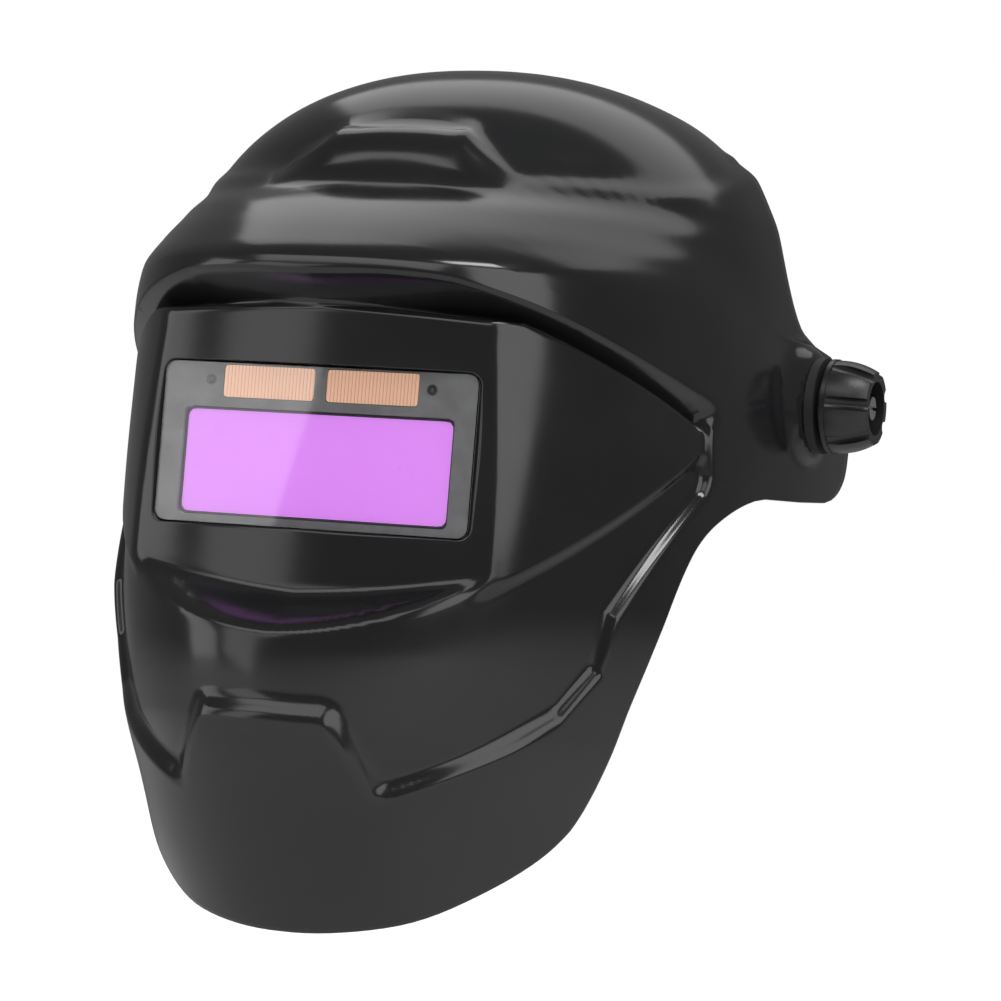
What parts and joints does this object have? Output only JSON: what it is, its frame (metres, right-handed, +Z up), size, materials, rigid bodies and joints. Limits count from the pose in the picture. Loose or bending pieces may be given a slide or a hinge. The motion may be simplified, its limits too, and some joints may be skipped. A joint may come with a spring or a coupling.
{
  "type": "welding helmet",
  "caption": "Auto-darkening welding helmet: a deep black face shell with a framed window filter, flipping up on a ratchet headgear with crown straps and side knobs",
  "frame": {"origin": "middle of the axis on which the shell flips up, at the wearer's temples", "axes": "worn upright: +Z up, the window faces -Y, +X is the wearer's left"},
  "size_m": [0.2724, 0.3012, 0.2939],
  "materials": {
    "shell_gloss": "gloss black moulded nylon",
    "clear_cover": "clear polycarbonate",
    "filter_grey": "satin grey plastic",
    "filter_black": "satin black plastic",
    "window_purple": "purple interference-coated glass",
    "board_green": "solder-masked board",
    "bright_steel": "bright zinc plated",
    "solar_copper": "copper-brown solar film",
    "sensor_black": "dark sensor lens",
    "black_nylon": "satin black nylon",
    "knob_black": "satin black nylon, moulded",
    "strap_black": "flexible black polyethylene",
    "sweatband_cloth": "black towelling over foam",
    "rubber_black": "black rubber"
  },
  "bodies": {
    "headgear": {"arm_rivets_left": "bright_steel", "arm_rivets_right": "bright_steel", "crown_pins": "black_nylon", "crown_strap_left": "strap_black", "crown_strap_right": "strap_black", "front_sweatband": "sweatband_cloth", "headband": "strap_black", "housing_screws": "bright_steel", "outer_washer_left": "rubber_black", "outer_washer_right": "rubber_black", "pivot_bolt_left": "bright_steel", "pivot_bolt_right": "bright_steel", "pivot_spacer_left": "black_nylon", "pivot_spacer_right": "black_nylon", "ratchet_cover": "black_nylon", "ratchet_housing": "black_nylon", "rear_pad": "sweatband_cloth", "side_arm_left": "black_nylon", "side_arm_right": "black_nylon", "stop_plate_left": "black_nylon", "stop_plate_right": "black_nylon"},
    "shell": {"helmet_shell": "shell_gloss", "front_cover_lens": "clear_cover", "filter_housing": "filter_grey", "filter_back_cover": "filter_black", "uv_ir_glass": "window_purple", "lcd_panel": "window_purple", "circuit_board": "board_green", "button_cells": "bright_steel", "solar_cell_left": "solar_copper", "solar_cell_right": "solar_copper", "arc_sensor_left": "sensor_black", "arc_sensor_right": "sensor_black", "filter_holder": "black_nylon", "holder_screws": "bright_steel", "filter_springs": "bright_steel", "inner_cover_lens": "clear_cover", "stop_pin_left": "black_nylon", "stop_pin_right": "black_nylon"},
    "tension_knob_left": {"tension_knob_left": "knob_black"},
    "tension_knob_right": {"tension_knob_right": "knob_black"},
    "ratchet_knob": {"ratchet_knob": "knob_black", "ratchet_pinion": "black_nylon"},
    "rack_left": {"rack_left": "strap_black"},
    "rack_right": {"rack_right": "strap_black"},
    "sensitivity_knob": {"sensitivity_knob": "knob_black"},
    "delay_knob": {"delay_knob": "knob_black"}
  },
  "joints": [
    {"name": "shell_flip", "type": "hinge", "parent": "headgear", "child": "shell", "pos_m": [0, 0, 0], "axis": [-1, 0, 0], "range_deg": [0, 72]},
    {"name": "tension_left_turn", "type": "hinge", "parent": "headgear", "child": "tension_knob_left", "pos_m": [0.118, 0, 0], "axis": [1, 0, 0], "range_deg": [-180, 180]},
    {"name": "tension_right_turn", "type": "hinge", "parent": "headgear", "child": "tension_knob_right", "pos_m": [-0.118, 0, 0], "axis": [-1, 0, 0], "range_deg": [-180, 180]},
    {"name": "ratchet_turn", "type": "hinge", "parent": "headgear", "child": "ratchet_knob", "pos_m": [0, 0.103, -0.008], "axis": [0, 1, 0], "range_deg": [-120, 60]},
    {"name": "rack_left_slide", "type": "slide", "parent": "headgear", "child": "rack_left", "axis": [1, 0, 0], "range_m": [-0.0126, 0.0063]},
    {"name": "rack_right_slide", "type": "slide", "parent": "headgear", "child": "rack_right", "axis": [-1, 0, 0], "range_m": [-0.0126, 0.0063]},
    {"name": "sensitivity_turn", "type": "hinge", "parent": "shell", "child": "sensitivity_knob", "pos_m": [-0.03, -0.1448, -0.0142], "axis": [0, 1, 0], "range_deg": [-135, 135]},
    {"name": "delay_turn", "type": "hinge", "parent": "shell", "child": "delay_knob", "pos_m": [0.03, -0.1448, -0.0142], "axis": [0, 1, 0], "range_deg": [-135, 135]}
  ],
  "couplings": [
    {"joint": "rack_left_slide", "follows": "ratchet_turn", "m_per_rad": 0.006},
    {"joint": "rack_right_slide", "follows": "ratchet_turn", "m_per_rad": 0.006}
  ]
}
